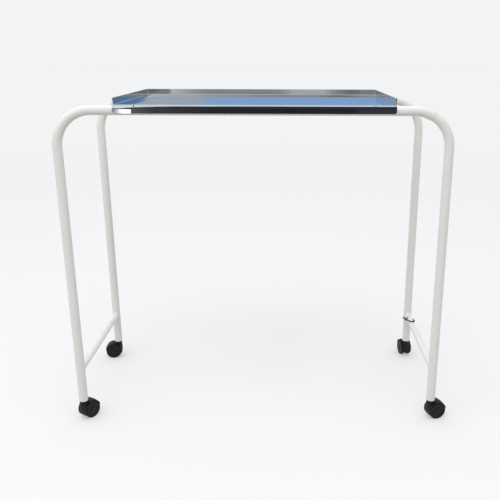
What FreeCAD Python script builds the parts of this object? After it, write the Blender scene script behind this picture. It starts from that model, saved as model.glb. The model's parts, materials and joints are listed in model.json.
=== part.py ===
"""Instrument cart: two bridge-shaped tube frames, two cross bars, a folded steel tray and four
twin-wheel casters.

Millimetres. +Z is up, +X runs along the tray and +Y points to the tray's rear rim. The origin is
on the floor, at the centre of the cart's footprint.
"""

import FreeCAD, Part
import math
import os
import Sketcher

from FreeCAD import Placement, Rotation, Vector

os.makedirs("parts", exist_ok=True)
doc = FreeCAD.newDocument("InstrumentCart")

# ---------------------------------------------------------------------------------------------
# Driving dimensions
# ---------------------------------------------------------------------------------------------

DIMENSIONS = {
    # tube frames
    "half_span": 500.0,         # centre of the cart to a leg's axis, along X
    "frame_spacing": 400.0,     # front frame's plane to rear frame's plane
    "middle_setback": 12.0,     # the frames' middle plane lies this far in front of the origin
    "rail_height": 876.0,       # floor to a top rail's axis
    "leg_end_height": 58.5,     # floor to a leg's open end
    "bend_radius": 92.0,        # axis radius of each corner bend
    "tube_radius": 12.5,
    "tube_bore": 11.3,
    "seam_angle": 15.0,         # the rail's own share of the jointed bend
    "insert_angle": 12.5,       # how far the rail's plain end reaches into the socket
    "socket_angle": 13.5,       # length of the leg tube's expanded socket
    "flare_angle": 3.0,
    "flare_sink": 0.2,          # the flare's thin end dips this far into the tube
    "socket_radius": 13.7,
    "socket_bore": 12.55,
    # cross bars
    "bar_radius": 10.0,
    "bar_bore": 8.8,
    "bar_height": 154.0,
    # tray
    "tray_length": 710.0,
    "tray_offset": 4.0,         # the tray sits this far to the right of the middle
    "sheet": 1.0,
    "tube_gap": 0.1,            # sheet to tube
    "rim_height": 17.5,
    "rim_bend": 3.0,
    "hem_height": 6.0,
    "apron_drop": 7.0,          # straight part of the apron, below the tube's axis
    "apron_corner": 7.0,
    "rivet_reach": 302.0,       # tray's centre to a rivet
    "rivet_tilt": 35.0,         # front rivets lean forward by this much from the vertical
    "rivet_radius": 1.6,
    "rivet_clearance": 0.05,    # rivet to its hole
    "rivet_head_radius": 3.3,
    "rivet_head": 1.0,
    "rivet_head_edge": 0.35,    # upright edge of a round head
    "rivet_head_flat": 1.8,     # flat top of a round head
    "sunk_head_radius": 2.9,
    "rivet_grip": 2.5,          # both sheets
    "rivet_swell": 0.7,         # height over which the tail swells
    "rivet_tail_radius": 2.4,
    "rivet_tail": 2.3,
    "pin_radius": 0.9,
    "pin_play": 0.02,
    "pin_head_radius": 1.6,
    "pin_head": 1.4,
    "pin_head_taper": 0.7,
    "pin_break": 0.5,           # the pin breaks off this far below the outer surface
    # cable tie
    "tie_width": 3.8,
    "tie_thickness": 1.3,
    "tie_leg_loop": 13.9,
    "tie_bar_loop": 8.5,
    "tie_reach": 84.0,          # leg's axis to the far end's centre
    "tie_rise": 0.28,           # slope of the loop's plane, rising to the front
    "tie_drop": 12.0,           # the loop crosses the leg this far below the bar's axis
    "tie_head": 5.4,
    "tie_head_depth": 4.3,
    "tie_head_reach": 44.0,
    "tie_head_side": 11.0,      # loop's middle line to the head's inner face
    "tie_tail": 12.0,
    "tie_tail_width": 3.0,
    "tie_tail_side": 13.4,
    "tie_tail_root": 2.0,
    "tie_tail_lean": 38.0,
    # casters
    "trail": 17.0,              # swivel axis to axle
    "wheel_radius": 25.0,
    "wheel_inner": 5.8,         # middle plane to a wheel's inner face
    "wheel_outer": 17.2,
    "wheel_round": 2.4,
    "wheel_bore": 3.06,
    "hub_radius": 7.6,
    "web_radius": 20.4,
    "web_plane": 13.4,
    "face_recess": 1.2,
    "face_slope": 1.0,
    "cap_radius": 6.4,
    "cap_height": 1.3,
    "cap_edge": 0.5,
    "cap_slope": 0.8,
    "cap_gap": 0.4,             # axle's end to the cap's plug
    "axle_radius": 3.0,
    "axle_half": 15.0,
    "hood_bore": 26.0,          # fender's inner radius about the axle
    "hood_crown": 28.2,
    "hood_edge": 26.9,
    "hood_half": 17.4,
    "hood_bevel": 0.9,
    "hood_web_half": 5.2,
    "hood_web_root": 0.3,       # depth of the web inside the fender
    "hood_front_angle": 200.0,
    "hood_rear_angle": 12.0,
    "hood_floor": 11.0,         # lowest point of the middle web
    "neck_radius": 11.5,
    "neck_foot": 29.0,
    "neck_top": 55.0,
    "window_half": 6.0,
    "window_low": 22.5,
    "window_high": 29.5,
    "swivel_bore": 4.06,
    "journal_radius": 4.0,
    "journal_foot": 26.0,
    "journal_chamfer": 0.5,
    "collar_radius": 8.0,
    "collar_low": 55.3,
    "flange_low": 57.0,
    "stem_radius": 5.45,
    "stem_top": 80.0,
    "stem_nose": 2.0,
    "ring_low": 71.0,
    "ring_height": 2.5,
    "ring_groove": 4.6,
    "ring_radius": 5.52,
    "insert_bore": 5.56,
    "insert_radius": 11.25,
    "insert_bore_top": 83.0,
    "insert_top": 88.0,
    "insert_chamfer": 1.0,
    "clip_low": 28.2,
    "clip_height": 0.9,
    "clip_groove": 3.2,
    "clip_radius": 4.9,
    "clip_slot": 4.4,
    # direction that each caster trails in, from +X towards +Y, in degrees
    "yaw_front_left": 55.0,
    "yaw_front_right": 18.0,
    "yaw_rear_left": 188.0,
    "yaw_rear_right": 98.0,
}

sheet = doc.addObject("Spreadsheet::Sheet", "Sizes")
for row, (alias, number) in enumerate(DIMENSIONS.items(), start=1):
    sheet.set(f"A{row}", alias)
    sheet.set(f"B{row}", str(number))
    sheet.setAlias(f"B{row}", alias)
doc.recompute()


class Size:
    """A number together with the spreadsheet expression that gives it."""

    def __init__(self, value, text):
        self.value = value
        self.text = text

    def __add__(self, other):
        other = as_size(other)
        return Size(self.value + other.value, f"({self.text} + {other.text})")

    def __sub__(self, other):
        other = as_size(other)
        return Size(self.value - other.value, f"({self.text} - {other.text})")

    def __mul__(self, other):
        other = as_size(other)
        return Size(self.value * other.value, f"({self.text} * {other.text})")

    def __truediv__(self, other):
        other = as_size(other)
        return Size(self.value / other.value, f"({self.text} / {other.text})")

    def __neg__(self):
        return Size(-self.value, f"(0 - {self.text})")


def as_size(number):
    return number if isinstance(number, Size) else Size(float(number), repr(float(number)))


def dim(alias):
    return Size(float(sheet.get(alias)), f"Sizes.{alias}")


def sine(angle):
    return Size(math.sin(math.radians(angle.value)), f"sin({angle.text} * 1 deg)")


def cosine(angle):
    return Size(math.cos(math.radians(angle.value)), f"cos({angle.text} * 1 deg)")


def bind(thing, **properties):
    """Bind properties to the sheet. A double underscore stands for a dot."""
    for name, size in properties.items():
        thing.setExpression(name.replace("__", "."), as_size(size).text)


def place(thing, x=0, y=0, z=0, turn=None):
    """Put an object at a bound position, with a fixed rotation."""
    thing.Placement = Placement(Vector(0, 0, 0), turn or Rotation())
    bind(thing, Placement__Base__x=x, Placement__Base__y=y, Placement__Base__z=z)
    return thing


ALONG_Y = Rotation(Vector(1, 0, 0), -90)    # a cylinder's or lathe's +Z becomes +Y
ALONG_MINUS_Y = Rotation(Vector(1, 0, 0), 90)
NODES = []


def keep(thing, node):
    """Give a finished sub-part its node name."""
    thing.Label = node
    NODES.append(thing)
    return thing


# ---------------------------------------------------------------------------------------------
# Shape helpers
# ---------------------------------------------------------------------------------------------


def cylinder(name, radius, height, x=0, y=0, z=0, turn=None):
    thing = doc.addObject("Part::Cylinder", name)
    bind(thing, Radius=radius, Height=height)
    return place(thing, x, y, z, turn)


def box(name, length, width, height, x=0, y=0, z=0, turn=None):
    thing = doc.addObject("Part::Box", name)
    bind(thing, Length=length, Width=width, Height=height)
    return place(thing, x, y, z, turn)


def bend(name, section_radius, start, sweep):
    """Part of a corner bend, in the frame's plane. Angles run from the leg up to the rail."""
    thing = doc.addObject("Part::Torus", name)
    bind(thing, Radius1=dim("bend_radius"), Radius2=section_radius, Angle3=sweep)
    turn = Rotation(Vector(0, 1, 0), -start.value) * Rotation(Vector(1, 0, 0), 90)
    reach = dim("half_span") - dim("bend_radius")
    return place(thing, x=reach, z=dim("rail_height") - dim("bend_radius"), turn=turn)


def fuse(name, things):
    thing = doc.addObject("Part::MultiFuse", name)
    thing.Shapes = things
    return thing


def cut(name, base, tools):
    """Take tools away from base, and stop if they take nothing."""
    thing = doc.addObject("Part::Cut", name)
    thing.Base = base
    thing.Tool = tools[0] if len(tools) == 1 else fuse(name + "Tools", tools)
    doc.recompute()
    if thing.Shape.Volume >= base.Shape.Volume - 0.01:
        raise RuntimeError(f"{name} cuts nothing")
    return thing


def origin_plane(body, role):
    return next(f for f in body.Origin.OriginFeatures if f.Role == role)


def sketch_on(body, name, role, lift=None):
    sketch = body.newObject("Sketcher::SketchObject", name)
    sketch.AttachmentSupport = [(origin_plane(body, role), "")]
    sketch.MapMode = "FlatFace"
    if lift is not None:
        bind(sketch, AttachmentOffset__Base__z=lift)
    doc.recompute()
    return sketch


def pin_point(sketch, geometry, point, x, y):
    """Fix one end or centre of a sketch element at bound coordinates."""
    for kind, size in (("DistanceX", as_size(x)), ("DistanceY", as_size(y))):
        index = sketch.addConstraint(
            Sketcher.Constraint(kind, -1, 1, geometry, point, size.value)
        )
        sketch.setExpression(f"Constraints[{index}]", size.text)


def bind_radius(sketch, geometry, radius):
    index = sketch.addConstraint(Sketcher.Constraint("Radius", geometry, radius.value))
    sketch.setExpression(f"Constraints[{index}]", radius.text)


def polygon(sketch, corners):
    """A closed outline with every corner bound to the sheet."""
    corners = [(as_size(x), as_size(y)) for x, y in corners]
    points = [Vector(x.value, y.value, 0) for x, y in corners]
    for i, point in enumerate(points):
        sketch.addGeometry(Part.LineSegment(point, points[(i + 1) % len(points)]), False)
    for i, (x, y) in enumerate(corners):
        previous = (i - 1) % len(points)
        sketch.addConstraint(Sketcher.Constraint("Coincident", previous, 2, i, 1))
        pin_point(sketch, i, 1, x, y)


def lathe(name, corners):
    """A body turned about its own Z axis from an outline of (radius, height) corners."""
    body = doc.addObject("PartDesign::Body", name)
    sketch = sketch_on(body, name + "Outline", "XZ_Plane")
    polygon(sketch, corners)
    turned = body.newObject("PartDesign::Revolution", name + "Turned")
    turned.Profile = sketch
    turned.ReferenceAxis = (sketch, ["V_Axis"])
    turned.Angle = 360.0
    doc.recompute()
    return body


def circles(shape, radius, height):
    """Names of the full circular edges of this radius about Z at this height."""
    names = []
    for i, edge in enumerate(shape.Edges, start=1):
        curve = edge.Curve
        if not isinstance(curve, Part.Circle):
            continue
        if abs(curve.Radius - radius.value) < 0.01 and abs(curve.Center.z - height.value) < 0.01:
            names.append(f"Edge{i}")
    return names


def round_circles(body, radius, places):
    """Fillet circular edges of a turned body. Each place is (edge radius, height)."""
    tip = body.Tip
    names = [n for r, z in places for n in circles(tip.Shape, as_size(r), as_size(z))]
    fillet = body.newObject("PartDesign::Fillet", body.Name + "Round")
    fillet.Base = (tip, names)
    bind(fillet, Radius=radius)
    doc.recompute()


# ---------------------------------------------------------------------------------------------
# Tube frames. Both are the same pair of tubes, and the rear pair is turned end for end.
# ---------------------------------------------------------------------------------------------

SPAN = dim("half_span")
BEND = dim("bend_radius")
RAIL = dim("rail_height")
TUBE = dim("tube_radius")
LEG_END = dim("leg_end_height")
FRONT_Y = -dim("middle_setback") - dim("frame_spacing") / 2
REAR_Y = dim("frame_spacing") / 2 - dim("middle_setback")
END_FOR_END = Rotation(Vector(0, 0, 1), 180)


def rail_tube(name):
    """Left leg, corner bend, top rail and the start of the right-hand bend, in one tube."""
    body = doc.addObject("PartDesign::Body", name)
    ring = sketch_on(body, name + "Section", "XY_Plane", LEG_END)
    middle = Vector(-SPAN.value, 0, 0)
    for i, radius in enumerate((TUBE, dim("tube_bore"))):
        ring.addGeometry(Part.Circle(middle, Vector(0, 0, 1), radius.value), False)
        bind_radius(ring, i, radius)
        pin_point(ring, i, 3, -SPAN, 0)

    path = sketch_on(body, name + "Path", "XZ_Plane")
    left = -SPAN + BEND
    right = SPAN - BEND
    low = RAIL - BEND
    end_angle = dim("seam_angle") + dim("insert_angle")
    up = Vector(0, 0, 1)
    corner = Part.Circle(Vector(left.value, low.value, 0), up, BEND.value)
    last = Part.Circle(Vector(right.value, low.value, 0), up, BEND.value)
    leg_foot = Vector(-SPAN.value, LEG_END.value, 0)
    leg_top = Vector(-SPAN.value, low.value, 0)
    rail_start = Vector(left.value, RAIL.value, 0)
    rail_end = Vector(right.value, RAIL.value, 0)
    path.addGeometry(Part.LineSegment(leg_foot, leg_top), False)
    path.addGeometry(Part.ArcOfCircle(corner, math.pi / 2, math.pi), False)
    path.addGeometry(Part.LineSegment(rail_start, rail_end), False)
    start = math.pi / 2 - math.radians(end_angle.value)
    path.addGeometry(Part.ArcOfCircle(last, start, math.pi / 2), False)
    for first, first_end, second, second_end in ((0, 2, 1, 2), (1, 1, 2, 1), (2, 2, 3, 2)):
        path.addConstraint(Sketcher.Constraint("Tangent", first, first_end, second, second_end))
    path.addConstraint(Sketcher.Constraint("Horizontal", 2))
    bind_radius(path, 1, BEND)
    pin_point(path, 0, 1, -SPAN, LEG_END)
    pin_point(path, 1, 3, left, low)
    pin_point(path, 3, 3, right, low)
    reach = right + BEND * sine(end_angle)
    index = path.addConstraint(Sketcher.Constraint("DistanceX", -1, 1, 3, 1, reach.value))
    path.setExpression(f"Constraints[{index}]", reach.text)

    pipe = body.newObject("PartDesign::AdditivePipe", name + "Pipe")
    pipe.Profile = ring
    pipe.Spine = (path, ["Edge1", "Edge2", "Edge3", "Edge4"])
    doc.recompute()
    return body


def leg_tube(name):
    """Jointed bend and right leg. Its upper end is expanded into a socket for the rail."""
    bend_end = as_size(90) - dim("seam_angle")
    socket_start = bend_end - dim("socket_angle")
    height = RAIL - BEND - LEG_END
    flare_length = BEND * dim("flare_angle") * (math.pi / 180)
    flare = doc.addObject("Part::Cone", name + "Flare")
    bind(flare, Radius1=dim("socket_radius"), Radius2=TUBE - dim("flare_sink"), Height=flare_length)
    along = Rotation(Vector(0, 1, 0), 180 - socket_start.value)
    place(
        flare,
        x=SPAN - BEND + BEND * cosine(socket_start),
        z=RAIL - BEND + BEND * sine(socket_start),
        turn=along,
    )
    outside = fuse(
        name + "Outside",
        [
            cylinder(name + "Leg", TUBE, height, x=SPAN, z=LEG_END),
            bend(name + "Bend", TUBE, as_size(0), bend_end),
            bend(name + "Socket", dim("socket_radius"), socket_start, dim("socket_angle")),
            flare,
        ],
    )
    inner = dim("tube_bore")
    bores = [
        cylinder(name + "LegBore", inner, height, x=SPAN, z=LEG_END),
        bend(name + "BendBore", inner, as_size(0), bend_end),
        bend(name + "SocketBore", dim("socket_bore"), socket_start, dim("socket_angle")),
    ]
    return cut(name + "Tube", outside, bores)


TRAY_X = dim("tray_offset")
FLOOR_BOTTOM = RAIL + TUBE + dim("tube_gap")
RIVET_X = [TRAY_X - dim("rivet_reach"), TRAY_X + dim("rivet_reach")]
LEAN_FORWARD = Rotation(Vector(1, 0, 0), dim("rivet_tilt").value)


def rivet_drills(name, radius, y, turn):
    """Radial drills out from a rail's axis, one per rivet."""
    return [
        cylinder(f"{name}{i}", radius, TUBE * 2, x=x, y=y, z=RAIL, turn=turn)
        for i, x in enumerate(RIVET_X)
    ]


RIVET_HOLE = dim("rivet_radius") + dim("rivet_clearance")
front_rail = place(rail_tube("FrontRail"), y=FRONT_Y)
rear_rail = place(rail_tube("RearRail"), y=REAR_Y, turn=END_FOR_END)
front_drills = rivet_drills("FrontRailDrill", RIVET_HOLE, FRONT_Y, LEAN_FORWARD)
rear_drills = rivet_drills("RearRailDrill", RIVET_HOLE, REAR_Y, None)
keep(cut("FrontRailDrilled", front_rail, front_drills), "front_rail_tube")
keep(cut("RearRailDrilled", rear_rail, rear_drills), "rear_rail_tube")
keep(place(leg_tube("FrontLeg"), y=FRONT_Y), "front_right_leg_tube")
keep(place(leg_tube("RearLeg"), y=REAR_Y, turn=END_FOR_END), "rear_left_leg_tube")


def cross_bar(name, side):
    """A straight tube from the front leg to the rear leg, its ends coped to fit the legs."""
    x = SPAN * side
    z = dim("bar_height")
    length = dim("frame_spacing")
    solid = cylinder(name + "Solid", dim("bar_radius"), length, x=x, y=FRONT_Y, z=z, turn=ALONG_Y)
    taken = [
        cylinder(name + "Bore", dim("bar_bore"), length, x=x, y=FRONT_Y, z=z, turn=ALONG_Y)
    ]
    for end, y in (("Front", FRONT_Y), ("Rear", REAR_Y)):
        taken.append(
            cylinder(name + end, TUBE, TUBE * 4, x=x, y=y, z=z - TUBE * 2)
        )
    return cut(name + "Bar", solid, taken)


keep(cross_bar("LeftCross", -1), "left_cross_bar")
keep(cross_bar("RightCross", 1), "right_cross_bar")


# ---------------------------------------------------------------------------------------------
# Tray: one folded sheet. Its floor lies on the rails, three edges stand up as hemmed rims and
# the fourth wraps down over the front rail.
# ---------------------------------------------------------------------------------------------

SHEET = dim("sheet")
HALF_TRAY = dim("tray_length") / 2
TRAY_FRONT = -dim("frame_spacing") / 2
TRAY_REAR = dim("frame_spacing") / 2 + TUBE + SHEET
RIM = dim("rim_height")
RIM_BEND = dim("rim_bend")


def edges_along(shape, direction, test):
    """Names of straight edges in a direction whose middle passes the test."""
    names = []
    for i, edge in enumerate(shape.Edges, start=1):
        if len(edge.Vertexes) != 2:
            continue
        first, last = (vertex.Point for vertex in edge.Vertexes)
        chord = last - first
        if abs(edge.Length - chord.Length) > 1e-6:
            continue
        if chord.Length - abs(chord.dot(direction)) < 1e-6 and test((first + last) * 0.5):
            names.append(f"Edge{i}")
    return names


def tray_body():
    body = doc.addObject("PartDesign::Body", "Tray")
    outline = sketch_on(body, "TrayOutline", "XY_Plane")
    corners = [(-HALF_TRAY, TRAY_FRONT), (HALF_TRAY, TRAY_FRONT)]
    corners += [(HALF_TRAY, TRAY_REAR), (-HALF_TRAY, TRAY_REAR)]
    polygon(outline, corners)
    block = body.newObject("PartDesign::Pad", "TrayBlock")
    block.Profile = outline
    bind(block, Length=RIM)
    doc.recompute()

    def at_rear(point):
        return point.y > TRAY_REAR.value - 0.1

    def at_side_floor(point):
        return point.z < 0.1

    shape = block.Shape
    folds = edges_along(shape, Vector(1, 0, 0), lambda p: at_rear(p) and p.z < 0.1)
    folds += edges_along(shape, Vector(0, 1, 0), at_side_floor)
    folds += edges_along(shape, Vector(0, 0, 1), at_rear)
    rounded = body.newObject("PartDesign::Fillet", "TrayFolds")
    rounded.Base = (block, folds)
    bind(rounded, Radius=RIM_BEND)
    doc.recompute()

    open_faces = []
    for i, face in enumerate(rounded.Shape.Faces, start=1):
        centre = face.CenterOfMass
        if centre.z > RIM.value - 0.01 or centre.y < TRAY_FRONT.value + 0.01:
            open_faces.append(f"Face{i}")
    shell = body.newObject("PartDesign::Thickness", "TrayShell")
    shell.Base = (rounded, open_faces)
    shell.Reversed = True
    bind(shell, Value=SHEET)
    doc.recompute()

    strip = sketch_on(body, "HemOutline", "XY_Plane", RIM - dim("hem_height"))
    out = SHEET
    lap = SHEET / 2
    corner_lap = RIM_BEND - (RIM_BEND - lap) * math.sqrt(0.5)
    polygon(
        strip,
        [
            (-HALF_TRAY - out, TRAY_FRONT),
            (-HALF_TRAY + lap, TRAY_FRONT),
            (-HALF_TRAY + lap, TRAY_REAR - RIM_BEND),
            (-HALF_TRAY + corner_lap, TRAY_REAR - corner_lap),
            (-HALF_TRAY + RIM_BEND, TRAY_REAR - lap),
            (HALF_TRAY - RIM_BEND, TRAY_REAR - lap),
            (HALF_TRAY - corner_lap, TRAY_REAR - corner_lap),
            (HALF_TRAY - lap, TRAY_REAR - RIM_BEND),
            (HALF_TRAY - lap, TRAY_FRONT),
            (HALF_TRAY + out, TRAY_FRONT),
            (HALF_TRAY + out, TRAY_REAR + out),
            (-HALF_TRAY - out, TRAY_REAR + out),
        ],
    )
    hem = body.newObject("PartDesign::Pad", "Hem")
    hem.Profile = strip
    bind(hem, Length=dim("hem_height"))
    doc.recompute()
    hem_corners = edges_along(
        hem.Shape, Vector(0, 0, 1), lambda p: p.y > TRAY_REAR.value + SHEET.value - 0.1
    )
    hem_round = body.newObject("PartDesign::Fillet", "HemCorners")
    hem_round.Base = (hem, hem_corners)
    bind(hem_round, Radius=RIM_BEND + SHEET)
    doc.recompute()

    # The wrap follows the front rail from its top to its front, then hangs straight.
    profile = sketch_on(body, "ApronProfile", "YZ_Plane")
    inner = TUBE + dim("tube_gap")
    outer = inner + SHEET
    y = TRAY_FRONT
    foot = -inner - dim("apron_drop")
    centre = Vector(y.value, -inner.value, 0)
    up = Vector(0, 0, 1)
    outer_arc = Part.Circle(centre, up, outer.value)
    inner_arc = Part.Circle(centre, up, inner.value)
    top_outer = Vector(y.value, SHEET.value, 0)
    top_inner = Vector(y.value, 0, 0)
    front_outer = Vector(y.value - outer.value, -inner.value, 0)
    front_inner = Vector(y.value - inner.value, -inner.value, 0)
    foot_outer = Vector(front_outer.x, foot.value, 0)
    foot_inner = Vector(front_inner.x, foot.value, 0)
    profile.addGeometry(Part.ArcOfCircle(outer_arc, math.pi / 2, math.pi), False)
    profile.addGeometry(Part.LineSegment(front_outer, foot_outer), False)
    profile.addGeometry(Part.LineSegment(foot_outer, foot_inner), False)
    profile.addGeometry(Part.LineSegment(foot_inner, front_inner), False)
    profile.addGeometry(Part.ArcOfCircle(inner_arc, math.pi / 2, math.pi), False)
    profile.addGeometry(Part.LineSegment(top_inner, top_outer), False)
    for line, line_end, arc, arc_end in ((1, 1, 0, 2), (3, 2, 4, 2)):
        profile.addConstraint(Sketcher.Constraint("Tangent", line, line_end, arc, arc_end))
    corners = ((1, 2, 2, 1), (2, 2, 3, 1), (4, 1, 5, 1), (5, 2, 0, 1))
    for first, first_end, second, second_end in corners:
        profile.addConstraint(
            Sketcher.Constraint("Coincident", first, first_end, second, second_end)
        )
    profile.addConstraint(Sketcher.Constraint("Coincident", 4, 3, 0, 3))
    profile.addConstraint(Sketcher.Constraint("Horizontal", 2))
    profile.addConstraint(Sketcher.Constraint("Vertical", 5))
    profile.addConstraint(Sketcher.Constraint("PointOnObject", 5, 1, -1))
    pin_point(profile, 0, 3, y, -inner)
    pin_point(profile, 5, 2, y, SHEET)
    index = profile.addConstraint(Sketcher.Constraint("DistanceY", -1, 1, 2, 1, foot.value))
    profile.setExpression(f"Constraints[{index}]", foot.text)
    apron = body.newObject("PartDesign::Pad", "Apron")
    apron.Profile = profile
    apron.Midplane = True
    bind(apron, Length=dim("tray_length"))
    doc.recompute()
    corners = edges_along(
        apron.Shape, Vector(0, 1, 0), lambda p: abs(p.z - foot.value) < 0.1
    )
    corner_round = body.newObject("PartDesign::Fillet", "ApronCorners")
    corner_round.Base = (apron, corners)
    bind(corner_round, Radius=dim("apron_corner"))
    doc.recompute()
    return body


def countersink(name, x):
    """A cone sunk from the floor's top surface."""
    cone = doc.addObject("Part::Cone", name)
    mouth = dim("sunk_head_radius") + dim("rivet_clearance")
    bind(cone, Radius1=RIVET_HOLE, Radius2=mouth, Height=SHEET)
    return place(cone, x=x, y=REAR_Y, z=FLOOR_BOTTOM)


tray = place(tray_body(), x=TRAY_X, y=-dim("middle_setback"), z=FLOOR_BOTTOM)
tray_drills = rivet_drills("TrayFrontDrill", RIVET_HOLE, FRONT_Y, LEAN_FORWARD)
tray_drills += [countersink(f"TraySink{i}", x) for i, x in enumerate(RIVET_X)]
keep(cut("TrayDrilled", tray, tray_drills), "tray")


# ---------------------------------------------------------------------------------------------
# Blind rivets. The front pair has round heads on the wrap, and the rear pair is flush with the
# tray's floor. Heights run outwards from the sheet's outer surface.
# ---------------------------------------------------------------------------------------------

PIN = dim("pin_radius")
SHANK = dim("rivet_radius")
GRIP = -dim("rivet_grip")
TAIL_TOP = GRIP - dim("rivet_swell")
TAIL_END = GRIP - dim("rivet_tail")
TAIL = dim("rivet_tail_radius")


def rivet(name, flush):
    if flush:
        head = [(dim("sunk_head_radius"), as_size(0)), (PIN, as_size(0))]
        neck = [(SHANK, -SHEET)]
    else:
        rim = dim("rivet_head_radius")
        top = dim("rivet_head")
        head = [(rim, as_size(0)), (rim, dim("rivet_head_edge"))]
        head += [(dim("rivet_head_flat"), top), (PIN, top)]
        neck = [(SHANK, as_size(0))]
    tail = [(PIN, TAIL_END), (TAIL, TAIL_END), (TAIL, TAIL_TOP), (SHANK, GRIP)]
    return lathe(name, tail + neck + head)


def rivet_pin(name):
    """The pin that pulled the rivet tight, broken off inside it."""
    knob = dim("pin_head_radius")
    taper = dim("pin_head_taper")
    pin = PIN - dim("pin_play")
    stub = -dim("pin_break")
    return lathe(
        name,
        [
            (0, TAIL_END - dim("pin_head")),
            (knob - taper, TAIL_END - dim("pin_head")),
            (knob, TAIL_END - taper),
            (knob, TAIL_END),
            (pin, TAIL_END),
            (pin, stub),
            (0, stub),
        ],
    )


def pair(node, make, y, turn, out):
    """Two identical fasteners in one node, each on its rail."""
    copies = []
    for i, x in enumerate(RIVET_X):
        piece = make(f"{node}_{i}")
        tilt = turn.Angle if turn else 0.0
        place(
            piece,
            x=x,
            y=y - out * math.sin(tilt),
            z=RAIL + out * math.cos(tilt),
            turn=turn,
        )
        copies.append(piece)
    group = doc.addObject("Part::Compound", node + "_pair")
    group.Links = copies
    return keep(group, node)


SURFACE = TUBE + dim("tube_gap") + SHEET
pair("front_tray_rivets", lambda n: rivet(n, False), FRONT_Y, LEAN_FORWARD, SURFACE)
pair("rear_tray_rivets", lambda n: rivet(n, True), REAR_Y, None, SURFACE)
pair("front_rivet_pins", rivet_pin, FRONT_Y, LEAN_FORWARD, SURFACE)
pair("rear_rivet_pins", rivet_pin, REAR_Y, None, SURFACE)


# ---------------------------------------------------------------------------------------------
# Cable tie round the right rear leg and over the right cross bar. The loop lies in a plane that
# rises to the front, like a belt round two pulleys: the leg and the far end above the bar.
# ---------------------------------------------------------------------------------------------


def belt_loop(sketch, near_radius, far_radius):
    """One closed outline: two arcs joined by the outer tangents of their circles."""
    reach = dim("tie_reach")
    spread = math.acos((near_radius.value - far_radius.value) / reach.value)
    near = Vector(0, 0, 0)
    far = Vector(reach.value, 0, 0)
    up = Vector(0, 0, 1)
    first = sketch.GeometryCount
    near_arc = Part.Circle(near, up, near_radius.value)
    far_arc = Part.Circle(far, up, far_radius.value)
    sketch.addGeometry(Part.ArcOfCircle(near_arc, spread, 2 * math.pi - spread), False)
    sketch.addGeometry(Part.ArcOfCircle(far_arc, -spread, spread), False)
    for angle in (-spread, spread):
        away = Vector(math.cos(angle), math.sin(angle), 0)
        start = near + away * near_radius.value
        end = far + away * far_radius.value
        sketch.addGeometry(Part.LineSegment(start, end), False)
    joins = ((2, 1, 0, 2), (2, 2, 1, 1), (3, 1, 0, 1), (3, 2, 1, 2))
    for line, line_end, arc, arc_end in joins:
        sketch.addConstraint(
            Sketcher.Constraint("Tangent", first + line, line_end, first + arc, arc_end)
        )
    bind_radius(sketch, first, near_radius)
    bind_radius(sketch, first + 1, far_radius)
    sketch.addConstraint(Sketcher.Constraint("Coincident", first, 3, -1, 1))
    pin_point(sketch, first + 1, 3, reach, 0)


def cable_tie():
    body = doc.addObject("PartDesign::Body", "TieStrap")
    outline = sketch_on(body, "TieOutline", "XY_Plane")
    thick = dim("tie_thickness")
    belt_loop(outline, dim("tie_leg_loop") + thick, dim("tie_bar_loop") + thick)
    belt_loop(outline, dim("tie_leg_loop"), dim("tie_bar_loop"))
    strap = body.newObject("PartDesign::Pad", "TieStrapPad")
    strap.Profile = outline
    strap.Midplane = True
    bind(strap, Length=dim("tie_width"))
    head = dim("tie_head")
    depth = dim("tie_head_depth")
    reach = dim("tie_head_reach")
    width = dim("tie_tail_width")
    low = -dim("tie_head_side") - depth
    lock = box("TieHead", head, depth, head, x=reach, y=low, z=-head / 2)
    tail = box(
        "TieTail",
        width,
        thick,
        dim("tie_tail"),
        x=reach + (head - width) / 2,
        y=-dim("tie_tail_side"),
        z=dim("tie_tail_root"),
        turn=Rotation(Vector(1, 0, 0), -dim("tie_tail_lean").value),
    )
    return fuse("Tie", [body, lock, tail])


TIE_RISE = dim("tie_rise").value
TIE_UP = Vector(0, TIE_RISE, 1).normalize()
TIE_ALONG = Vector(0, -1, TIE_RISE).normalize()
tie_turn = Rotation(TIE_ALONG, TIE_UP.cross(TIE_ALONG), TIE_UP, "ZXY")
tie_low = dim("bar_height") - dim("tie_drop")
keep(place(cable_tie(), x=SPAN, y=REAR_Y, z=tie_low, turn=tie_turn), "cable_tie")


# ---------------------------------------------------------------------------------------------
# Casters. In a caster's own frame the swivel axis is Z, the axle lies along Y at x = trail, and
# the floor is z = 0. The stem and its fittings stay with the leg.
# ---------------------------------------------------------------------------------------------

TRAIL = dim("trail")
WHEEL = dim("wheel_radius")


def leg_insert(name):
    radius = dim("insert_radius")
    bore = dim("insert_bore")
    top = dim("insert_top")
    chamfer = dim("insert_chamfer")
    return lathe(
        name,
        [
            (bore, dim("flange_low")),
            (TUBE, dim("flange_low")),
            (TUBE, LEG_END),
            (radius, LEG_END),
            (radius, top - chamfer),
            (radius - chamfer, top),
            (0, top),
            (0, dim("insert_bore_top")),
            (bore, dim("insert_bore_top")),
        ],
    )


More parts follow.
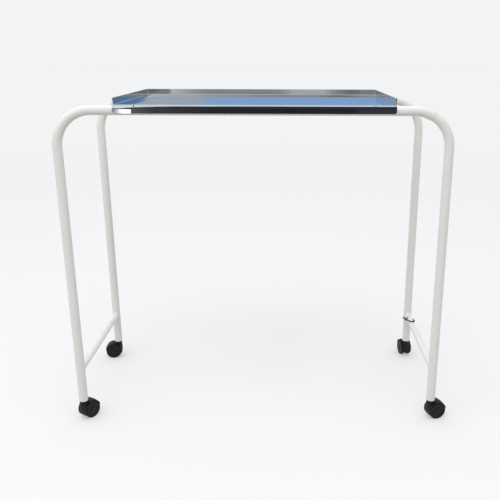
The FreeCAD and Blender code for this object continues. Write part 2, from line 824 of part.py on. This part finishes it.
def stem(name):
    journal = dim("journal_radius")
    chamfer = dim("journal_chamfer")
    foot = dim("journal_foot")
    post = dim("stem_radius")
    nose = dim("stem_nose")
    groove = dim("ring_groove")
    ring_top = dim("ring_low") + dim("ring_height")
    clip_top = dim("clip_low") + dim("clip_height")
    return lathe(
        name,
        [
            (0, foot),
            (journal - chamfer, foot),
            (journal, foot + chamfer),
            (journal, dim("clip_low")),
            (dim("clip_groove"), dim("clip_low")),
            (dim("clip_groove"), clip_top),
            (journal, clip_top),
            (journal, dim("collar_low")),
            (dim("collar_radius"), dim("collar_low")),
            (dim("collar_radius"), dim("flange_low")),
            (post, dim("flange_low")),
            (post, dim("ring_low")),
            (groove, dim("ring_low")),
            (groove, ring_top),
            (post, ring_top),
            (post, dim("stem_top") - nose),
            (post - nose, dim("stem_top")),
            (0, dim("stem_top")),
        ],
    )


def split_ring(name, inner, outer, low, height, slot):
    """A flat spring ring with a gap on its +X side."""
    ring = lathe(
        name, [(inner, low), (outer, low), (outer, low + height), (inner, low + height)]
    )
    gap = box(name + "Gap", outer, slot, height, x=0, y=-slot / 2, z=low)
    return cut(name + "Split", ring, [gap])


def fender(name):
    """Barrel-shaped pie about the axle, from the front lip over the top to the rear lip."""
    body = doc.addObject("PartDesign::Body", name)
    outline = sketch_on(body, name + "Outline", "XZ_Plane")
    edge = dim("hood_edge")
    half = dim("hood_half")
    bulge = dim("hood_crown") - edge
    bevel = dim("hood_bevel")
    rim = half - bevel
    radius = (rim * rim + bulge * bulge) / (bulge * 2)
    centre = Vector(dim("hood_crown").value - radius.value, 0, 0)
    corners = [
        (as_size(0), -half),
        (edge - bevel, -half),
        (edge, -rim),
        (edge, rim),
        (edge - bevel, half),
        (as_size(0), half),
    ]
    points = [Vector(x.value, y.value, 0) for x, y in corners]
    reach = math.asin(rim.value / radius.value)
    crown = Part.Circle(centre, Vector(0, 0, 1), radius.value)
    for i, point in enumerate(points):
        if i == 2:
            outline.addGeometry(Part.ArcOfCircle(crown, -reach, reach), False)
        else:
            outline.addGeometry(Part.LineSegment(point, points[(i + 1) % len(points)]), False)
    for i, (x, y) in enumerate(corners):
        previous = (i - 1) % len(points)
        outline.addConstraint(Sketcher.Constraint("Coincident", previous, 2, i, 1))
        pin_point(outline, i, 1, x, y)
    bind_radius(outline, 2, radius)
    turned = body.newObject("PartDesign::Revolution", name + "Turned")
    turned.Profile = outline
    turned.ReferenceAxis = (outline, ["V_Axis"])
    bind(turned, Angle=dim("hood_front_angle") - dim("hood_rear_angle"))
    doc.recompute()
    if turned.Shape.BoundBox.YMax < dim("hood_edge").value / 2:
        turned.Reversed = True
        doc.recompute()
    lift = Rotation(Vector(0, 1, 0), -dim("hood_rear_angle").value) * ALONG_MINUS_Y
    return place(body, x=TRAIL, z=WHEEL, turn=lift)


def hood(name):
    """Middle web between the wheels, the fender over them and the neck round the stem."""
    half = dim("hood_web_half")
    bore = dim("hood_bore")
    reach = bore + dim("hood_web_root")
    disc = cylinder(name + "Disc", reach, half * 2, x=TRAIL, y=-half, z=WHEEL, turn=ALONG_Y)
    keep_above = box(
        name + "Above", bore * 3, half * 2, bore * 3, x=-bore, y=-half, z=dim("hood_floor")
    )
    web = doc.addObject("Part::MultiCommon", name + "Web")
    web.Shapes = [disc, keep_above]
    neck_radius = dim("neck_radius")
    neck_top = dim("neck_top")
    bevel = dim("hood_bevel")
    neck = lathe(
        name + "Neck",
        [
            (0, dim("neck_foot")),
            (neck_radius, dim("neck_foot")),
            (neck_radius, neck_top - bevel),
            (neck_radius - bevel, neck_top),
            (0, neck_top),
        ],
    )
    solid = fuse(name + "Solid", [fender(name + "Fender"), web, neck])
    deep = dim("hood_half")
    window = dim("window_half")
    window_height = dim("window_high") - dim("window_low")
    taken = [
        cylinder(name + "WheelA", bore, deep, x=TRAIL, y=half, z=WHEEL, turn=ALONG_Y),
        cylinder(name + "WheelB", bore, deep, x=TRAIL, y=-half, z=WHEEL, turn=ALONG_MINUS_Y),
        cylinder(name + "SwivelBore", dim("swivel_bore"), neck_top, z=dim("window_high")),
        cylinder(
            name + "AxleBore",
            dim("axle_radius"),
            deep * 2,
            x=TRAIL,
            y=-deep,
            z=WHEEL,
            turn=ALONG_Y,
        ),
        box(
            name + "Window",
            window * 2,
            half * 4,
            window_height,
            x=-window,
            y=-half * 2,
            z=dim("window_low"),
        ),
    ]
    return cut(name + "Hood", solid, taken)


def wheel(name):
    """Heights run outwards along the axle from the caster's middle plane."""
    inner = dim("wheel_inner")
    outer = dim("wheel_outer")
    hub = dim("hub_radius")
    web = dim("web_radius")
    face = outer - dim("face_recess")
    slope = dim("face_slope")
    body = lathe(
        name,
        [
            (dim("wheel_bore"), inner),
            (hub, inner),
            (hub, dim("web_plane")),
            (web, dim("web_plane")),
            (web, inner),
            (WHEEL, inner),
            (WHEEL, outer),
            (web, outer),
            (web - slope, face),
            (hub + slope, face),
            (hub, outer),
            (dim("wheel_bore"), outer),
        ],
    )
    round_circles(body, dim("wheel_round"), [(WHEEL, inner), (WHEEL, outer)])
    return body


def hub_cap(name):
    """A push-in cap that closes the wheel's bore."""
    outer = dim("wheel_outer")
    cap = dim("cap_radius")
    plug = dim("wheel_bore")
    top = outer + dim("cap_height")
    plug_end = dim("axle_half") + dim("cap_gap")
    return lathe(
        name,
        [
            (0, plug_end),
            (plug, plug_end),
            (plug, outer),
            (cap, outer),
            (cap, outer + dim("cap_edge")),
            (cap - dim("cap_slope"), top),
            (0, top),
        ],
    )


def caster(corner, side, leg_y):
    """All ten pieces of one caster, turned to the way it trails."""
    short = corner.replace("_", "").title()
    yaw = dim("yaw_" + corner)
    turn = Rotation(Vector(0, 0, 1), yaw.value)
    leg_x = SPAN * side

    def set_down(piece, node, extra=None, x=leg_x, y=leg_y, z=0):
        spin = turn * extra if extra else turn
        return keep(place(piece, x=x, y=y, z=z, turn=spin), f"{corner}_{node}")

    set_down(leg_insert(short + "Insert"), "leg_insert")
    set_down(stem(short + "Stem"), "caster_stem")
    grip = split_ring(
        short + "Grip",
        dim("ring_groove"),
        dim("ring_radius"),
        dim("ring_low"),
        dim("ring_height"),
        as_size(2),
    )
    set_down(grip, "grip_ring")
    clip = split_ring(
        short + "Clip",
        dim("clip_groove"),
        dim("clip_radius"),
        dim("clip_low"),
        dim("clip_height"),
        dim("clip_slot"),
    )
    set_down(clip, "stem_clip")
    set_down(hood(short + "Hood"), "caster_hood")

    axle_x = leg_x + TRAIL * cosine(yaw)
    axle_y = leg_y + TRAIL * sine(yaw)
    half = dim("axle_half")
    pin = cylinder(short + "Axle", dim("axle_radius"), half * 2)
    keep(pin, f"{corner}_axle")
    place(
        pin,
        x=axle_x + half * sine(yaw),
        y=axle_y - half * cosine(yaw),
        z=WHEEL,
        turn=turn * ALONG_Y,
    )
    for letter, facing in (("a", ALONG_Y), ("b", ALONG_MINUS_Y)):
        tag = short + letter.upper()
        set_down(wheel(tag + "Wheel"), f"wheel_{letter}", facing, axle_x, axle_y, WHEEL)
        set_down(hub_cap(tag + "Cap"), f"hub_cap_{letter}", facing, axle_x, axle_y, WHEEL)


for corner_name, corner_side, corner_y in (
    ("front_left", -1, FRONT_Y),
    ("front_right", 1, FRONT_Y),
    ("rear_left", -1, REAR_Y),
    ("rear_right", 1, REAR_Y),
):
    caster(corner_name, corner_side, corner_y)


# ---------------------------------------------------------------------------------------------
# Check and write
# ---------------------------------------------------------------------------------------------

doc.recompute()
for thing in doc.Objects:
    if "Invalid" in thing.State or "Error" in thing.State:
        raise RuntimeError(f"{thing.Name} ({thing.Label}) failed: {thing.State}")
for node in NODES:
    if node.Shape.isNull() or not node.Shape.isValid() or not node.Shape.Solids:
        raise RuntimeError(f"{node.Label} has no valid shape")
for node in NODES:
    node.Shape.exportStep(f"parts/{node.Label}.step")
    print(f"{node.Label}: {node.Shape.Volume / 1000:.2f} cm3, {len(node.Shape.Solids)} solid(s)")
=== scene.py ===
"""Instrument cart: polished tray on a white tube frame with four twin-wheel casters."""
import json
import math

import bpy
from mathutils import Matrix, Vector


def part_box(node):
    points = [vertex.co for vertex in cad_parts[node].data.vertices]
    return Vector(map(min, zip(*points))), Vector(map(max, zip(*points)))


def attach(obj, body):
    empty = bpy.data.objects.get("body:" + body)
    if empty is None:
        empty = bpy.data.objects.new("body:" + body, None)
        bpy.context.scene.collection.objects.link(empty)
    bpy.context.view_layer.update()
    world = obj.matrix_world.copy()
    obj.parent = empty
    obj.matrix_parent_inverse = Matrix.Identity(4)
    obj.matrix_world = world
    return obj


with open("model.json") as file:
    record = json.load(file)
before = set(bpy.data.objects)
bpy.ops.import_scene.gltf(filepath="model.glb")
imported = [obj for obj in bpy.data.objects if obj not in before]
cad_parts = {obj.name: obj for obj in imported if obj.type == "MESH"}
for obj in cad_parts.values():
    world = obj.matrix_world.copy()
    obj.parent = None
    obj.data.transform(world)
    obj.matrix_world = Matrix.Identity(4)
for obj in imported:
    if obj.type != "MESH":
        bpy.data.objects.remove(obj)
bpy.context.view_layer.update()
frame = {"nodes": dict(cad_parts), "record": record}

NODES = frame["nodes"]
scene = bpy.context.scene


# ------------------------------------------------------------------------------------------
# Materials
# ------------------------------------------------------------------------------------------


class Material:
    """A node material with short calls for the textures used here. Coordinates are metres."""

    MIX_A, MIX_B, MIXED = 6, 7, 2             # a colour mix node's sockets
    VECTOR_A, VECTOR_B, VECTOR_MIXED = 4, 5, 1  # and a vector mix node's

    def __init__(self, name, **values):
        self.data = bpy.data.materials.new(name)
        self.data.use_nodes = True
        self.tree = self.data.node_tree
        self.shader = self.tree.nodes["Principled BSDF"]
        for socket, value in values.items():
            self.shader.inputs[socket.replace("_", " ")].default_value = value
        self.place = self.add("ShaderNodeTexCoord").outputs["Object"]

    def add(self, kind, **settings):
        node = self.tree.nodes.new(kind)
        for name, value in settings.items():
            setattr(node, name, value)
        return node

    def join(self, value, socket):
        if isinstance(value, bpy.types.NodeSocket):
            self.tree.links.new(value, socket)
        else:
            socket.default_value = value

    def stretched(self, scale, turn=(0, 0, 0)):
        node = self.add("ShaderNodeMapping")
        node.inputs["Scale"].default_value = scale
        node.inputs["Rotation"].default_value = turn
        self.tree.links.new(self.place, node.inputs["Vector"])
        return node.outputs["Vector"]

    def noise(self, scale, detail=3.0, rough=0.5, vector=None):
        node = self.add("ShaderNodeTexNoise")
        node.inputs["Scale"].default_value = scale
        node.inputs["Detail"].default_value = detail
        node.inputs["Roughness"].default_value = rough
        self.tree.links.new(vector or self.place, node.inputs["Vector"])
        return node.outputs["Fac"]

    def span(self, value, low, high, to_low=0.0, to_high=1.0):
        """Maps low..high to to_low..to_high, clamped and smooth."""
        node = self.add("ShaderNodeMapRange", interpolation_type="SMOOTHSTEP")
        for socket, number in (
            ("From Min", low), ("From Max", high), ("To Min", to_low), ("To Max", to_high)
        ):
            node.inputs[socket].default_value = number
        self.tree.links.new(value, node.inputs["Value"])
        return node.outputs["Result"]

    def maths(self, operation, a, b):
        node = self.add("ShaderNodeMath", operation=operation)
        self.join(a, node.inputs[0])
        self.join(b, node.inputs[1])
        return node.outputs[0]

    def mix(self, factor, a, b):
        node = self.add("ShaderNodeMix", data_type="RGBA")
        self.join(factor, node.inputs["Factor"])
        for at, value in ((self.MIX_A, a), (self.MIX_B, b)):
            color = value if isinstance(value, bpy.types.NodeSocket) else (*value, 1)
            self.join(color, node.inputs[at])
        return node.outputs[self.MIXED]

    def mix_normals(self, factor, a, b):
        node = self.add("ShaderNodeMix", data_type="VECTOR")
        self.join(factor, node.inputs["Factor"])
        self.join(a, node.inputs[self.VECTOR_A])
        self.join(b, node.inputs[self.VECTOR_B])
        return node.outputs[self.VECTOR_MIXED]

    def along(self, axis, vector=None):
        node = self.add("ShaderNodeSeparateXYZ")
        self.tree.links.new(vector or self.place, node.inputs[0])
        return node.outputs[axis]

    def bump(self, value, depth, normal=None):
        node = self.add("ShaderNodeBump")
        node.inputs["Distance"].default_value = depth
        self.tree.links.new(value, node.inputs["Height"])
        if normal is not None:
            self.tree.links.new(normal, node.inputs["Normal"])
        return node.outputs["Normal"]

    def finish(self, color=None, roughness=None, normal=None):
        for name, value in (
            ("Base Color", color), ("Roughness", roughness), ("Normal", normal)
        ):
            if value is not None:
                self.tree.links.new(value, self.shader.inputs[name])
        return self.data


def powder_coat():
    """White paint: orange peel, with floor dust and small chips on the lower legs."""
    m = Material("white_powder_coat", Specular_IOR_Level=0.5, Coat_Weight=0.25, Coat_Roughness=0.12)
    broad = m.noise(7, 3)
    base = m.mix(broad, (0.825, 0.812, 0.790), (0.785, 0.768, 0.742))
    low = m.span(m.along("Z"), 0.05, 0.30, 1, 0)
    dust = m.maths("MULTIPLY", m.span(m.noise(420, 7, 0.75), 0.48, 0.74), low)
    dusty = m.mix(m.maths("MULTIPLY", dust, 0.26), base, (0.46, 0.43, 0.39))
    spots = m.span(m.noise(520, 2), 0.70, 0.78)
    patches = m.span(m.noise(24, 4, 0.7), 0.60, 0.70)
    chips = m.maths("MULTIPLY", m.maths("MULTIPLY", spots, patches), m.maths("ADD", low, 0.15))
    color = m.mix(chips, dusty, (0.16, 0.14, 0.12))
    rough = m.span(m.noise(60, 4), 0.3, 0.7, 0.30, 0.44)
    peel = m.bump(m.noise(430, 2), 0.00008)
    return m.finish(color, rough, m.bump(m.noise(3200, 2), 0.000012, peel))


def polished_steel():
    """Mirror-polished sheet with smears, fine scratches and a slightly uneven surface."""
    m = Material("polished_stainless", Metallic=1.0)
    smear = m.span(m.noise(11, 4, 0.55), 0.40, 0.68)
    color = m.mix(smear, (0.70, 0.72, 0.74), (0.655, 0.675, 0.695))
    lines = None
    for turn, across in ((0.35, 1500), (-0.62, 1900), (1.25, 1700)):
        line = m.span(m.noise(1, 2, 0.5, m.stretched((9, across, 9), (0, 0, turn))), 0.66, 0.74)
        lines = line if lines is None else m.maths("MAXIMUM", lines, line)
    grain = m.noise(1, 3, 0.6, m.stretched((24, 2400, 2400)))
    rough = m.maths("ADD", m.span(smear, 0, 1, 0.035, 0.075), m.maths("MULTIPLY", lines, 0.035))
    rough = m.maths("ADD", rough, m.maths("MULTIPLY", grain, 0.02))
    # the thin floor, and only the floor, curves up a little towards its rear fold
    rise = m.maths("MAXIMUM", m.maths("ADD", m.along("Y"), 0.075), 0.0)
    curve = m.bump(m.maths("MULTIPLY", rise, rise), 0.125)
    shape = m.add("ShaderNodeNewGeometry").outputs["Normal"]
    level = m.span(m.along("Z", shape), 0.90, 0.995)
    waves = m.bump(m.noise(3.5, 1), 0.0005, m.mix_normals(level, shape, curve))
    return m.finish(color, rough, m.bump(lines, 0.0000012, waves))


def satin_steel(name, color, rough, grain_scale):
    """Turned or drawn metal: fine grain round the vertical, and uneven tone."""
    m = Material(name, Metallic=1.0)
    darker = tuple(part * 0.72 for part in color)
    tone = m.mix(m.span(m.noise(240, 4, 0.6), 0.35, 0.7), color, darker)
    grain = m.noise(1, 3, 0.5, m.stretched((grain_scale, grain_scale, 3600)))
    roughness = m.span(grain, 0.3, 0.7, rough, rough + 0.16)
    return m.finish(tone, roughness, m.bump(grain, 0.000015))


def moulded_nylon(name, color, rough, dust):
    """Black moulding: fine spark-eroded grain, with floor dust that thins out upwards."""
    m = Material(name, Specular_IOR_Level=0.25)
    lighter = tuple(part * 1.5 + 0.0015 for part in color)
    tone = m.mix(m.noise(60, 4, 0.6), color, lighter)
    low = m.span(m.along("Z"), 0.002, 0.040, 1, 0.15)
    film = m.maths("MULTIPLY", m.span(m.noise(330, 6, 0.7), 0.46, 0.80), low)
    tone = m.mix(m.maths("MULTIPLY", film, dust), tone, (0.15, 0.14, 0.125))
    roughness = m.span(m.noise(90, 4), 0.3, 0.7, rough, rough + 0.18)
    return m.finish(tone, roughness, m.bump(m.noise(2600, 2), 0.00003))


PAINT = powder_coat()
STEEL = polished_steel()
RIVET = satin_steel("satin_stainless", (0.62, 0.62, 0.62), 0.22, 700)
PIN = satin_steel("drawn_wire", (0.36, 0.36, 0.37), 0.34, 1500)
ZINC = satin_steel("zinc_plate", (0.58, 0.58, 0.55), 0.26, 400)
SPRING = satin_steel("spring_steel", (0.22, 0.22, 0.24), 0.30, 900)
HOOD = moulded_nylon("hood_nylon", (0.0045, 0.0045, 0.005), 0.42, 0.10)
WHEEL = moulded_nylon("wheel_nylon", (0.0060, 0.0060, 0.0060), 0.48, 0.20)
CAP = moulded_nylon("cap_nylon", (0.0080, 0.0080, 0.0085), 0.36, 0.12)
TIE = moulded_nylon("tie_nylon", (0.0055, 0.0055, 0.006), 0.40, 0.10)

SLOT_MATERIALS = {
    "tube_paint": PAINT,
    "tray_steel": STEEL,
    "rivet_steel": RIVET,
    "pin_steel": PIN,
    "tie_nylon": TIE,
    "insert_nylon": HOOD,
    "stem_steel": ZINC,
    "spring_steel": SPRING,
    "hood_nylon": HOOD,
    "wheel_nylon": WHEEL,
    "cap_nylon": CAP,
}
for part in frame["record"]["subparts"]:
    node = NODES[part["node"]]
    material = SLOT_MATERIALS[part["material_slot"]]
    if not node.material_slots:
        node.data.materials.append(material)
    for slot in node.material_slots:
        slot.material = material


# ------------------------------------------------------------------------------------------
# Added detail
# ------------------------------------------------------------------------------------------


def tube_mesh(name, path, radii, sides=10):
    """A closed ring of round sections that follows path, (point, outward, along) per section."""
    vertices, faces = [], []
    for (point, outward, along), radius in zip(path, radii):
        side = along.cross(outward).normalized()
        for k in range(sides):
            angle = 2 * math.pi * k / sides
            vertices.append(point + (outward * math.cos(angle) + side * math.sin(angle)) * radius)
    count = len(path)
    for i in range(count):
        for k in range(sides):
            here, there = i * sides, (i + 1) % count * sides
            faces.append((here + k, there + k, there + (k + 1) % sides, here + (k + 1) % sides))
    mesh = bpy.data.meshes.new(name)
    mesh.from_pydata(vertices, [], faces)
    for polygon in mesh.polygons:
        polygon.use_smooth = True
    piece = bpy.data.objects.new(name, mesh)
    scene.collection.objects.link(piece)
    return piece


WELD_BEAD = 0.0016      # radius of a weld's bead
WELD_RIPPLES = 28       # ripples round one weld


def weld_bead(name, leg, facing, height, leg_radius, bar_radius):
    """A rippled fillet weld round the saddle where a cross bar meets a leg."""
    points = []
    steps = 6 * WELD_RIPPLES
    for i in range(steps):
        angle = 2 * math.pi * i / steps
        across = bar_radius * math.cos(angle)
        out = math.sqrt(leg_radius**2 - across**2)
        points.append(leg + Vector((across, facing * out, height + bar_radius * math.sin(angle))))
    path = []
    for i, point in enumerate(points):
        angle = 2 * math.pi * i / steps
        along = (points[(i + 1) % steps] - points[i - 1]).normalized()
        outward = Vector((math.cos(angle), facing * 0.6, math.sin(angle))).normalized()
        path.append((point, outward, along))
    radii = []
    for i in range(steps):
        ripple = 0.16 * abs(math.sin(math.pi * i * WELD_RIPPLES / steps)) + 0.06 * math.sin(i * 0.37)
        radii.append(WELD_BEAD * (0.9 + ripple))
    piece = tube_mesh(name, path, radii)
    piece.data.materials.append(PAINT)
    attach(piece, "frame")


for side in ("left", "right"):
    low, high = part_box(f"{side}_cross_bar")
    bar_x, bar_z, bar_r = (low[0] + high[0]) / 2, (low[2] + high[2]) / 2, (high[0] - low[0]) / 2
    for end, facing in (("front", 1), ("rear", -1)):
        insert_low, insert_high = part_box(f"{end}_{side}_leg_insert")
        leg_r = (insert_high[0] - insert_low[0]) / 2
        leg = Vector((bar_x, (insert_low[1] + insert_high[1]) / 2, 0))
        weld_bead(f"{end}_{side}_weld", leg, facing, bar_z, leg_r, bar_r)


# ------------------------------------------------------------------------------------------
# Floor, light and camera
# ------------------------------------------------------------------------------------------


def panel(name, centre, width, height, facing, material):
    """A flat card, turned so that its face points along facing."""
    mesh = bpy.data.meshes.new(name)
    w, h = width / 2, height / 2
    mesh.from_pydata([(-w, -h, 0), (w, -h, 0), (w, h, 0), (-w, h, 0)], [], [(0, 1, 2, 3)])
    card = bpy.data.objects.new(name, mesh)
    card.location = centre
    card.rotation_euler = Vector(facing).to_track_quat("Z", "Y").to_euler()
    mesh.materials.append(material)
    scene.collection.objects.link(card)
    return card


SKY = (0.895, 0.898, 0.908)


def floor_material():
    """Pale matt floor. Far from the cart it carries on as plain backdrop."""
    m = Material("pale_floor", Roughness=0.85, Specular_IOR_Level=0.05)
    m.finish(m.mix(m.noise(3, 2), (0.83, 0.83, 0.835), (0.82, 0.82, 0.825)))
    backdrop = m.add("ShaderNodeEmission")
    backdrop.inputs["Color"].default_value = (*SKY, 1)
    reach = m.add("ShaderNodeVectorMath", operation="LENGTH")
    m.tree.links.new(m.place, reach.inputs[0])
    blend = m.add("ShaderNodeMixShader")
    m.tree.links.new(m.span(reach.outputs["Value"], 1.2, 7, 0.40, 1), blend.inputs[0])
    m.tree.links.new(m.shader.outputs[0], blend.inputs[1])
    m.tree.links.new(backdrop.outputs[0], blend.inputs[2])
    m.tree.links.new(blend.outputs[0], m.tree.nodes["Material Output"].inputs["Surface"])
    return m.data


def card_material(name, stops, along=1):
    """Glow that changes across (0) or up (1) a card, from (share, color) stops."""
    m = Material(name)
    generated = m.tree.nodes["Texture Coordinate"].outputs["Generated"]
    position = m.along(along, generated)
    color = (*stops[0][1], 1)
    for (low, _), (high, tone) in zip(stops, stops[1:]):
        share = m.span(position, low, high)
        node = m.add("ShaderNodeMix", data_type="RGBA")
        m.join(share, node.inputs["Factor"])
        m.join(color, node.inputs[m.MIX_A])
        m.join((*tone, 1), node.inputs[m.MIX_B])
        color = node.outputs[m.MIXED]
    glow = m.add("ShaderNodeEmission")
    m.join(color, glow.inputs["Color"])
    m.tree.links.new(glow.outputs[0], m.tree.nodes["Material Output"].inputs["Surface"])
    m.data.cycles.emission_sampling = "NONE"
    return m.data


def only_in_metal(card):
    """Keeps a card out of everything but reflections."""
    card.visible_camera = False
    card.visible_diffuse = False
    card.visible_shadow = False
    card.visible_transmission = False
    return card


EDGE_Y, EDGE_Z = -0.2, 0.88     # the line near the tray's front edge that cards bend round


def reflected_card(name, material, columns, distance, rows=12):
    """A curved studio card that is seen only in polished metal.

    It stands round the tray's front edge at a distance. Each column gives its x and its
    lowest and highest elevation in degrees, where 0 is ahead of the tray and 180 behind it.
    """
    mesh = bpy.data.meshes.new(name)
    vertices = []
    for x, low, high in columns:
        for i in range(rows + 1):
            angle = math.radians(low + (high - low) * i / rows)
            out, up = distance * math.cos(angle), distance * math.sin(angle)
            vertices.append((x, EDGE_Y - out, EDGE_Z + up))
    faces = []
    for c in range(len(columns) - 1):
        for i in range(rows):
            at = c * (rows + 1) + i
            faces.append((at, at + 1, at + rows + 2, at + rows + 1))
    mesh.from_pydata(vertices, [], faces)
    mesh.materials.append(material)
    card = bpy.data.objects.new(name, mesh)
    scene.collection.objects.link(card)
    return only_in_metal(card)


def tones(*stops):
    """Card stops of neutral grey from (share, brightness) pairs."""
    return [(share, (level * 0.97, level * 0.99, level)) for share, level in stops]


WHITE = (1, 1, 1)
PALE = (0.78, 0.80, 0.83)
DARK = (0.030, 0.032, 0.038)
SLATE = (0.345, 0.40, 0.475)
BLUE = (0.225, 0.385, 0.63)
DEEP_BLUE = (0.115, 0.22, 0.38)

ground = panel("floor", (0, 0, 0), 80, 80, (0, 0, 1), floor_material())
ground.visible_diffuse = False      # FLOOR_BOUNCE below lights the cart from underneath instead

# a dark room all round the front, with a brighter part that the rear rim shows
dark = card_material("dark_card", [(0.0, (0.10, 0.10, 0.11)), (0.35, DARK), (1.0, DARK)], along=0)
canopy = [(-3.0, -9, 22), (-1.8, -9, 22), (-1.5, -9, 80), (-0.6, -9, 95), (3.0, -9, 93)]
reflected_card("front_dark", dark, canopy, 6)
room = tones(
    (0.0, 0.42), (0.02, 0.85), (0.085, 0.85), (0.145, 0.55), (0.20, 0.43), (0.255, 0.35),
    (0.51, 0.35), (0.57, 0.58), (0.67, 0.58), (0.735, 0.30), (0.775, 0.21), (0.826, 0.27),
)
room_card = card_material("room_card", room, along=0)
reflected_card("front_room", room_card, [(-1.75, -2, 5), (1.65, -2, 5)], 5.9, 4)
upper_room = tones(
    (0.0, 0.60), (0.10, 0.62), (0.40, 0.42), (0.52, 0.36), (0.60, 0.42), (0.75, 0.24), (0.85, 0.42)
)
upper_card = card_material("upper_room_card", upper_room, along=0)
reflected_card("front_room_upper", upper_card, [(-1.75, 5, 15), (1.65, 5, 15)], 5.9, 4)

# a shade right before the tray's wrapped front edge keeps that room out of it
shade_tones = [
    (0.0, (0.13, 0.13, 0.145)), (0.03, (0.10, 0.10, 0.115)), (0.09, (0.058, 0.056, 0.075)),
    (0.22, (0.040, 0.040, 0.050)), (0.30, (0.026, 0.027, 0.027)), (0.55, (0.020, 0.021, 0.022)),
    (0.83, (0.024, 0.025, 0.028)), (0.86, (0.040, 0.042, 0.055)), (1.0, (0.042, 0.044, 0.058)),
]
shade_card = card_material("front_shade_card", shade_tones, along=0)
reflected_card("front_shade", shade_card, [(-0.3055, -35, 14), (0.365, -35, 14)], 0.034, 6)

# a white card at the left, which lights the edge's left end
white_tones = tones((0, 0.20), (0.30, 0.26), (0.50, 2.3), (1, 2.3))
white = card_material("white_card", white_tones, along=0)
reflected_card("front_white", white, [(-1.90, -9, 60), (-1.67, -9, 45)], 5.8)

# the sides, and what hangs over the tray
for side, tone in ((-1, (0.20, 0.27, 0.37)), (1, (0.15, 0.22, 0.34))):
    side_card = card_material(f"side_card_{side + 2}", [(0, tone), (1, tone)])
    middle = (side * 5, -1, 1.18)
    only_in_metal(panel(f"side_room_{side + 2}", middle, 7, 0.5, (-side, 0, 0), side_card))
above_tones = [
    (0.0, (0.48, 0.58, 0.70)), (0.45, (0.95, 0.97, 1.0)), (0.72, WHITE), (1, (0.50, 0.60, 0.72))
]
above = card_material("above_card", above_tones)
only_in_metal(panel("above_tray", (0, 0.03, 1.25), 1.6, 0.44, (0, 0, -1), above))

# the sky behind the cart, which the tray's floor shows, and the sky over it
sky_tones = [
    (0.06, PALE), (0.19, SLATE), (0.344, SLATE), (0.390, BLUE), (0.676, BLUE), (0.696, DEEP_BLUE),
    (0.77, DEEP_BLUE), (0.92, PALE),
]
sky = card_material("sky_tones", sky_tones, along=0)
reflected_card("rear_sky", sky, [(-6, 161, 182), (6, 161, 182)], 12)
over_tones = [
    (0.0, WHITE), (0.26, WHITE), (0.36, (0.47, 0.58, 0.71)), (0.86, (0.50, 0.60, 0.72)),
    (1.0, (0.85, 0.88, 0.92)),
]
over = card_material("over_card", over_tones, along=0)
reflected_card("overhead_tones", over, [(-3, 94, 152), (3, 94, 152)], 5.5)

world = bpy.data.worlds.new("studio")
world.use_nodes = True
nodes, links = world.node_tree.nodes, world.node_tree.links
way = nodes.new("ShaderNodeSeparateXYZ")
links.new(nodes.new("ShaderNodeTexCoord").outputs["Generated"], way.inputs[0])


def world_step(axis, low, high, before, after):
    """Blends the light from before to after, along one axis of the direction it comes from."""
    share = nodes.new("ShaderNodeMapRange")
    share.inputs["From Min"].default_value = low
    share.inputs["From Max"].default_value = high
    links.new(way.outputs[axis], share.inputs["Value"])
    node = nodes.new("ShaderNodeMix")
    node.data_type = "RGBA"
    links.new(share.outputs["Result"], node.inputs["Factor"])
    for at, tone in ((Material.MIX_A, before), (Material.MIX_B, after)):
        if isinstance(tone, bpy.types.NodeSocket):
            links.new(tone, node.inputs[at])
        else:
            node.inputs[at].default_value = (*tone, 1)
    return node.outputs[Material.MIXED]


LEFT_LIGHT, RIGHT_LIGHT, TOP_LIGHT = (1.0, 1.0, 1.0), (0.30, 0.30, 0.31), (1.16, 1.16, 1.17)
FLOOR_BOUNCE = (0.43, 0.415, 0.39)
light = world_step("X", -0.85, -0.45, LEFT_LIGHT, SKY)
light = world_step("X", 0.35, 0.75, light, RIGHT_LIGHT)
light = world_step("Z", 0.13, 0.28, SKY, light)
light = world_step("Z", 0.35, 0.75, light, TOP_LIGHT)
light = world_step("Z", -0.12, -0.02, FLOOR_BOUNCE, light)
links.new(light, nodes["Background"].inputs["Color"])
scene.world = world


CART_MIDDLE = Vector((0, 0, 0.5))


def softbox(name, place, size, power):
    data = bpy.data.lights.new(name, "AREA")
    data.shape = "RECTANGLE"
    data.size, data.size_y = size
    data.energy = power
    lamp = bpy.data.objects.new(name, data)
    lamp.location = place
    lamp.rotation_euler = (CART_MIDDLE - Vector(place)).to_track_quat("-Z", "Y").to_euler()
    lamp.visible_glossy = False
    scene.collection.objects.link(lamp)


softbox("overhead", (-0.2, -1.1, 3.1), (2.6, 1.6), 22)
softbox("key", (-2.6, -2.2, 2.0), (1.6, 1.6), 7)

camera_data = bpy.data.cameras.new("camera")
camera_data.sensor_width = 36
camera_data.lens = 46.0
camera_data.shift_x = -0.0877
camera = bpy.data.objects.new("camera", camera_data)
camera.location = (0.0833, -1.8482, 1.0138)
pitch, yaw, roll = math.radians(-17.12), math.radians(-0.68), math.radians(0.23)
turn = Matrix.Rotation(yaw, 4, "Z") @ Matrix.Rotation(math.pi / 2 + pitch, 4, "X")
camera.rotation_euler = (turn @ Matrix.Rotation(roll, 4, "Z")).to_euler()
scene.collection.objects.link(camera)
scene.camera = camera
scene.view_settings.view_transform = "Standard"
